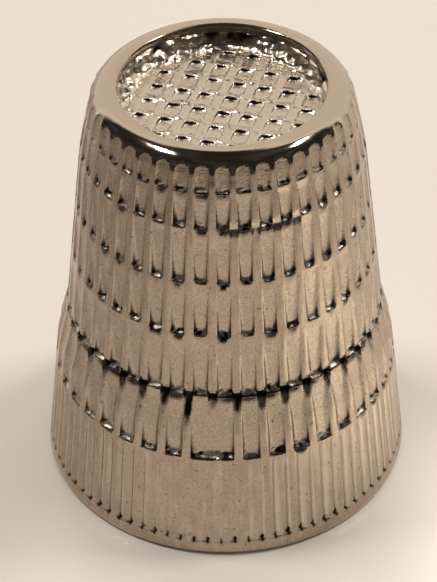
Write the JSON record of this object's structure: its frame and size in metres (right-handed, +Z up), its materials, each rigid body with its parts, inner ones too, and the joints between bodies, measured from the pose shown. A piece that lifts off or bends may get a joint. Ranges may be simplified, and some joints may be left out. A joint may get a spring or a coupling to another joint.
{
  "type": "sewing thimble",
  "caption": "Closed-top sewing thimble: a tapered, pitted metal wall with a flared, reeded skirt, and a rounded bead about a sunken waffle crown.",
  "frame": {"origin": "centre of the mouth, on the plane the thimble stands on", "axes": "+Z up the axis from the mouth to the crown, and -Y through the middle of one column of pits, beside the one blank field of the lowest ring"},
  "size_m": [0.0186, 0.0186, 0.022],
  "materials": {
    "nickel_plate": "warm nickel plating over a zinc casting: polished on the bead and satin elsewhere"
  },
  "bodies": {
    "root": {"thimble": "nickel_plate"}
  },
  "joints": []
}
